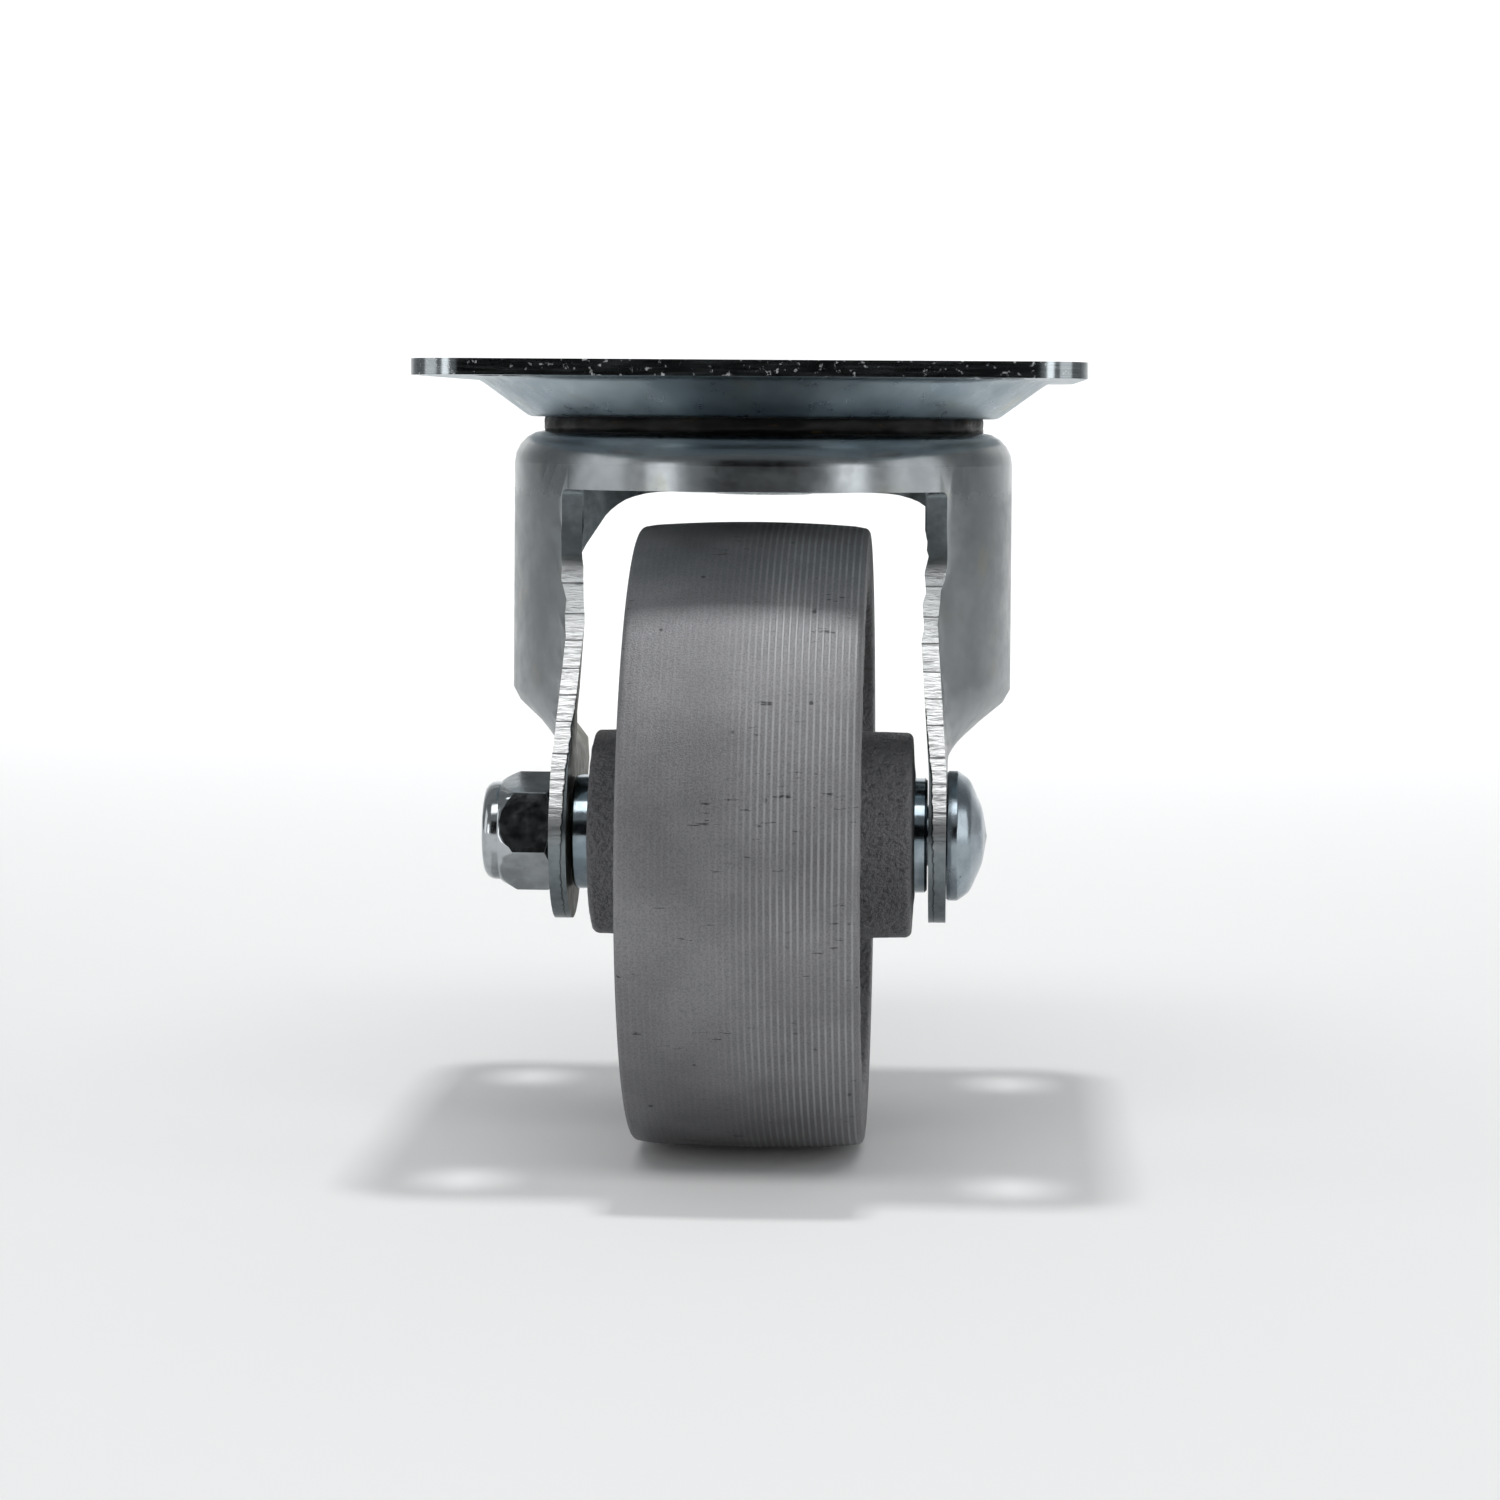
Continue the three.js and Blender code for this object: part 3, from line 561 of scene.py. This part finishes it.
bolt_zinc = bright_zinc("bright_zinc_on_headed_bolt", "#87929a", "#a0abb2",
                        smooth=0.17, dull=0.28, turned=0.1)
sleeve_zinc = bright_zinc("bright_zinc_on_tube", "#7f8c94", "#a2aeb5",
                          smooth=0.10, dull=0.20, turned=0.4)
nut_zinc = bright_zinc("bright_zinc_on_lock_nut", "#94999c", "#b4b9bc",
                       smooth=0.10, dull=0.18, turned=0.1)
finished_copy("axle_bolt", "fork", [bolt_zinc], one_finish,
              round_mm=0.15, seams=40)
finished_copy("axle_sleeve", "fork", [sleeve_zinc], one_finish,
              round_mm=0.0, seams=35)
finished_copy("lock_nut", "fork", [nut_zinc], one_finish,
              round_mm=0.35, seams=30)


def nylon_ring():
    """Natural nylon insert: milky, slightly translucent, scored by the bolt's thread."""
    made, tree, shader, mm = new_material("natural_nylon_insert")
    cloud = add(tree, "TexNoise", {"Vector": mm, "Scale": 0.7, "Detail": 3.0})
    tint = add(tree, "Mix", {0: cloud, 6: linear("#d9dbda"), 7: linear("#c2c4c0")}, **COLOUR)
    rough = add(tree, "MapRange", {0: cloud, 1: 0.3, 2: 0.7, 3: 0.35, 4: 0.55})
    score = add(tree, "TexNoise", {"Vector": mm, "Scale": 2.2, "Detail": 3.0})
    relief = add(tree, "Bump", {"Height": score, "Distance": 0.04 * MM, "Strength": 0.5})
    wire(tree, shader, {"Base Color": tint, "Roughness": rough, "IOR": 1.53, "Subsurface Weight": 0.2,
                        "Subsurface Scale": 1 * MM, "Normal": relief})
    return made


finished_copy("nut_insert", "fork", [nylon_ring()], one_finish, round_mm=0.1, seams=40)

# ---- wheel ----------------------------------------------------------------------------------
# Grey iron cast in sand, silver painted, with its tread turned to a slight crown. The tread keeps
# the tool's fine rings and a few blow holes; web and hub keep the sand's coarse skin.

WHEEL_R = (wheel_high.z - wheel_low.z) / 2 / MM
CROWNING = 0.8
HALF = 18.75
HUB_HALF = (wheel_high.x - wheel_low.x) / 2 / MM
HUB_R = 17.1
HUB_ROOT_R = HUB_R + 2.2
HUB_DRAFT_X = 14.0
BORE_R = 9.44
BORE_CHAMFER = 0.8
RIM_R = 41.5
WELL_R = 39.1
WEB_HALF_AT_RIM, WEB_HALF_AT_HUB = 5.2, 4.6
FILLET_STEPS = 6
SKIN = 0.04
TOOL_FEED = 1.03


def tread_radius(x):
    """The crowned tread's radius at the distance x from the middle."""
    return WHEEL_R - CROWNING * (x / HALF) ** 2


def fillet(corner, before, after, radius, n):
    """Points of an arc that rounds a corner of the section."""
    c, u, v = Vector(corner), Vector(before) - Vector(corner), Vector(after) - Vector(corner)
    u.normalize()
    v.normalize()
    half = u.angle(v) / 2
    centre = c + (u + v).normalized() * radius / math.sin(half)
    a, b = c + u * radius / math.tan(half) - centre, c + v * radius / math.tan(half) - centre
    return [tuple(centre + a.slerp(b, i / n)) for i in range(n + 1)]


def wheel_section():
    """Half of the section, as radius and distance from the middle, from the tread to the bore."""
    corners = [((WHEEL_R - CROWNING, HALF), 1.1), ((RIM_R, HALF), 1.0),
               ((WELL_R, WEB_HALF_AT_RIM), 3.0), ((HUB_ROOT_R, WEB_HALF_AT_HUB), 4.0),
               ((HUB_R, HUB_DRAFT_X), 0.0), ((HUB_R, HUB_HALF), 1.3),
               ((BORE_R + BORE_CHAMFER, HUB_HALF), 0.0), ((BORE_R, HUB_HALF - BORE_CHAMFER), 0.0)]
    points = []
    for i, (corner, radius) in enumerate(corners):
        before = corners[i - 1][0] if i else (WHEEL_R, 0.0)
        after = corners[i + 1][0] if i + 1 < len(corners) else (BORE_R, 0.0)
        points += fillet(corner, before, after, radius, FILLET_STEPS) if radius else [corner]
    return points


def filled(points, gap):
    """The same line with points no further apart than gap."""
    full = []
    for a, b in zip(points, points[1:]):
        n = max(1, math.ceil((Vector(b) - Vector(a)).length / gap))
        full += [tuple(Vector(a).lerp(Vector(b), i / n)) for i in range(n)]
    return full + [points[-1]]


def cast_wheel():
    """The casting, with the sand's low waves left on everything but the tread and bore."""
    wave_height, ripple_height, sag_height, sink, face_sink = 0.10, 0.07, 0.10, 0.08, 0.12
    tread_land, fade, bore_land, point_gap = 2.2, 1.5, 0.9, 1.6
    half = wheel_section()
    count = 24
    reach_x = half[0][1]
    tread = [(tread_radius(reach_x * (2 * i / count - 1)), reach_x * (2 * i / count - 1))
             for i in range(1, count)]
    right = filled(half, point_gap)
    section = [(r, -x) for r, x in reversed(right)] + tread + right
    turns = 288
    points, faces = [], []
    for i in range(turns):
        t = 2 * math.pi * i / turns
        for r, x in section:
            off_tread = min(1.0, max(0.0, (WHEEL_R - tread_land - r) / fade))
            cast = off_tread * min(1.0, max(0.0, r - BORE_R - bore_land))
            spot = Vector((x, r * math.cos(t), r * math.sin(t)))
            wave = wave_height * noise.noise(spot * 0.28) + ripple_height * noise.noise(spot * 0.9)
            sag = sag_height * noise.noise(spot * 0.5 + Vector((9, 0, 0)))
            r2 = r - SKIN + cast * (wave - sink)
            x2 = x + cast * (sag - face_sink * (x > 0) + face_sink * (x < 0))
            points.append(wheel_centre + Vector((x2, r2 * math.cos(t), r2 * math.sin(t))) * MM)
    n = len(section)
    for i in range(turns):
        j = (i + 1) % turns
        for k in range(n):
            m = (k + 1) % n
            faces.append((i * n + k, i * n + m, j * n + m, j * n + k))
    mesh = bpy.data.meshes.new("wheel_casting")
    mesh.from_pydata(points, [], faces)
    mesh.shade_smooth()
    made = bpy.data.objects.new("wheel_casting", mesh)
    bpy.context.scene.collection.objects.link(made)
    return made


def silver_on_iron():
    """Aluminium paint on cast iron: satin grey with 0.3 mm sand sparkle, the tread ringed every
    1.03 mm by the turning tool with the crests painted lighter as a highlight, dark pits and short
    scratches, rougher cast skin inside with its hollows painted darker as shade."""
    made, tree, shader, mm = new_material("silver_paint_on_cast_iron")
    local = add(tree, "VectorMath", {0: mm, 1: tuple(wheel_centre / MM)}, operation="SUBTRACT")
    x_axis = add(tree, "SeparateXYZ", {0: local}, 0)
    flat = add(tree, "VectorMath", {0: local, 1: (0.0, 1.0, 1.0)}, operation="MULTIPLY")
    radius = add(tree, "VectorMath", {0: flat}, "Value", operation="LENGTH")
    skin = add(tree, "MapRange", {0: radius, 1: WHEEL_R - 2.0, 2: WHEEL_R - 1.2,
                                  3: 1.0, 4: 0.0}, **SMOOTH)
    turned = add(tree, "Math", {0: 1.0, 1: skin}, operation="SUBTRACT")
    cloud = add(tree, "TexNoise", {"Vector": local, "Scale": 0.06, "Detail": 4.0, "Roughness": 0.55})
    cloudy = add(tree, "MapRange", {0: cloud, 1: 0.35, 2: 0.65}, **SMOOTH)
    tint = add(tree, "Mix", {0: cloudy, 6: linear("#7b7b7d"), 7: linear("#8b8b8d")}, **COLOUR)
    # sand grains about 0.3 mm across speckle the paint
    sand = add(tree, "TexNoise", {"Vector": local, "Scale": 3.4, "Detail": 3.0, "Roughness": 0.7})
    speck = add(tree, "MapRange", {0: sand, 1: 0.34, 2: 0.60, 3: 0.36, 4: 0.0}, **SMOOTH)
    tint = add(tree, "Mix", {0: speck, 6: tint, 7: linear("#44464a")}, **COLOUR)
    coarse = add(tree, "TexNoise", {"Vector": local, "Scale": 1.1, "Detail": 4.0, "Roughness": 0.7})
    # the cast skin's hollows, where the grit bump is low, are painted darker as shade
    hollow_shade = add(tree, "MapRange", {0: coarse, 1: 0.36, 2: 0.50, 3: 0.40, 4: 0.0}, **SMOOTH)
    hollow_shade = add(tree, "Math", {0: hollow_shade, 1: skin}, operation="MULTIPLY")
    tint = add(tree, "Mix", {0: hollow_shade, 6: tint, 7: linear("#3a3c3f")}, **COLOUR)
    # dark scratches 2 to 6 mm long run across the tread in clusters, round pits lie between them
    slant = add(tree, "Mapping", {"Vector": local, "Rotation": (0.3, 0.12, 0.0),
                                  "Scale": (0.35, 1.0, 2.2)})
    scratch = add(tree, "TexNoise", {"Vector": slant, "Scale": 0.6, "Detail": 4.0, "Roughness": 0.65})
    scratch = add(tree, "MapRange", {0: scratch, 1: 0.635, 2: 0.66}, **SMOOTH)
    cluster = add(tree, "TexNoise", {"Vector": local, "Scale": 0.07})
    cluster = add(tree, "MapRange", {0: cluster, 1: 0.49, 2: 0.56}, **SMOOTH)
    scratch = add(tree, "Math", {0: scratch, 1: cluster}, operation="MULTIPLY")
    cell = {"Vector": local, "Scale": 0.16}
    which = add(tree, "SeparateColor", {0: add(tree, "TexVoronoi", cell, "Color")}, 0)
    keep = add(tree, "MapRange", {0: which, 1: 0.70, 2: 0.72}, **SMOOTH)
    uneven = add(tree, "Math", {0: coarse, 1: 0.16, 2: add(tree, "TexVoronoi", cell, "Distance")},
                 operation="MULTIPLY_ADD")
    pit = add(tree, "MapRange", {0: uneven, 1: 0.12, 2: 0.16, 3: 1.0, 4: 0.0}, **SMOOTH)
    pit = add(tree, "Math", {0: pit, 1: keep}, operation="MULTIPLY")
    dark = add(tree, "Math", {0: scratch, 1: pit}, operation="MAXIMUM")
    dark = add(tree, "Math", {0: dark, 1: turned}, operation="MULTIPLY")
    deep = add(tree, "Math", {0: dark, 1: 0.75}, operation="MULTIPLY")
    tint = add(tree, "Mix", {0: deep, 6: tint, 7: linear("#222426")}, **COLOUR)
    # the tool's rings are strong towards the bolt head and worn to a trace on the other side,
    # and their crests are painted lighter as a highlight
    drift = add(tree, "TexNoise", {"Vector": local, "Scale": 0.08})
    phase = add(tree, "Math", {0: x_axis, 1: 2 * math.pi / TOOL_FEED, 2: drift},
                operation="MULTIPLY_ADD")
    ring = add(tree, "Math", {0: phase}, operation="SINE")
    ring = add(tree, "MapRange", {0: ring, 1: 0.0, 2: 1.0}, **SMOOTH)
    edge = add(tree, "Math", {0: cloud, 1: 8.0, 2: x_axis}, operation="MULTIPLY_ADD")
    side = add(tree, "MapRange", {0: edge, 1: 0.0, 2: 11.0, 3: 0.10, 4: 1.0}, **SMOOTH)
    patch = add(tree, "TexNoise", {"Vector": local, "Scale": 0.10, "Detail": 3.0})
    patch = add(tree, "MapRange", {0: patch, 1: 0.30, 2: 0.60, 3: 0.35, 4: 1.0}, **SMOOTH)
    strength = add(tree, "Math", {0: side, 1: patch}, operation="MULTIPLY")
    strength = add(tree, "Math", {0: strength, 1: turned}, operation="MULTIPLY")
    crest = add(tree, "Math", {0: ring, 1: strength}, operation="MULTIPLY")
    # painted highlight on the ring crests
    light = add(tree, "Math", {0: crest, 1: 0.42}, operation="MULTIPLY")
    tint = add(tree, "Mix", {0: light, 6: tint, 7: linear("#c2c4c5")}, **COLOUR)
    rough = add(tree, "MapRange", {0: cloud, 1: 0.3, 2: 0.7, 3: 0.40, 4: 0.50})
    rough = add(tree, "Math", {0: skin, 1: 0.10, 2: rough}, operation="MULTIPLY_ADD")
    grit = add(tree, "Math", {0: coarse, 1: skin}, operation="MULTIPLY")
    relief = add(tree, "Bump", {"Height": crest, "Distance": 0.06 * MM, "Strength": 0.8})
    relief = add(tree, "Bump", {"Height": sand, "Distance": 0.10 * MM, "Strength": 1.0,
                                "Normal": relief})
    relief = add(tree, "Bump", {"Height": grit, "Distance": 1.2 * MM, "Strength": 1.0,
                                "Normal": relief})
    relief = add(tree, "Bump", {"Height": dark, "Distance": 0.12 * MM, "Strength": -0.8,
                                "Normal": relief})
    wire(tree, shader, {"Base Color": tint, "Metallic": 0.75, "Roughness": rough, "Normal": relief})
    return made


wheel_casting = cast_wheel()
wheel_casting.data.materials.append(silver_on_iron())
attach(wheel_casting, "wheel")
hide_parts("wheel")
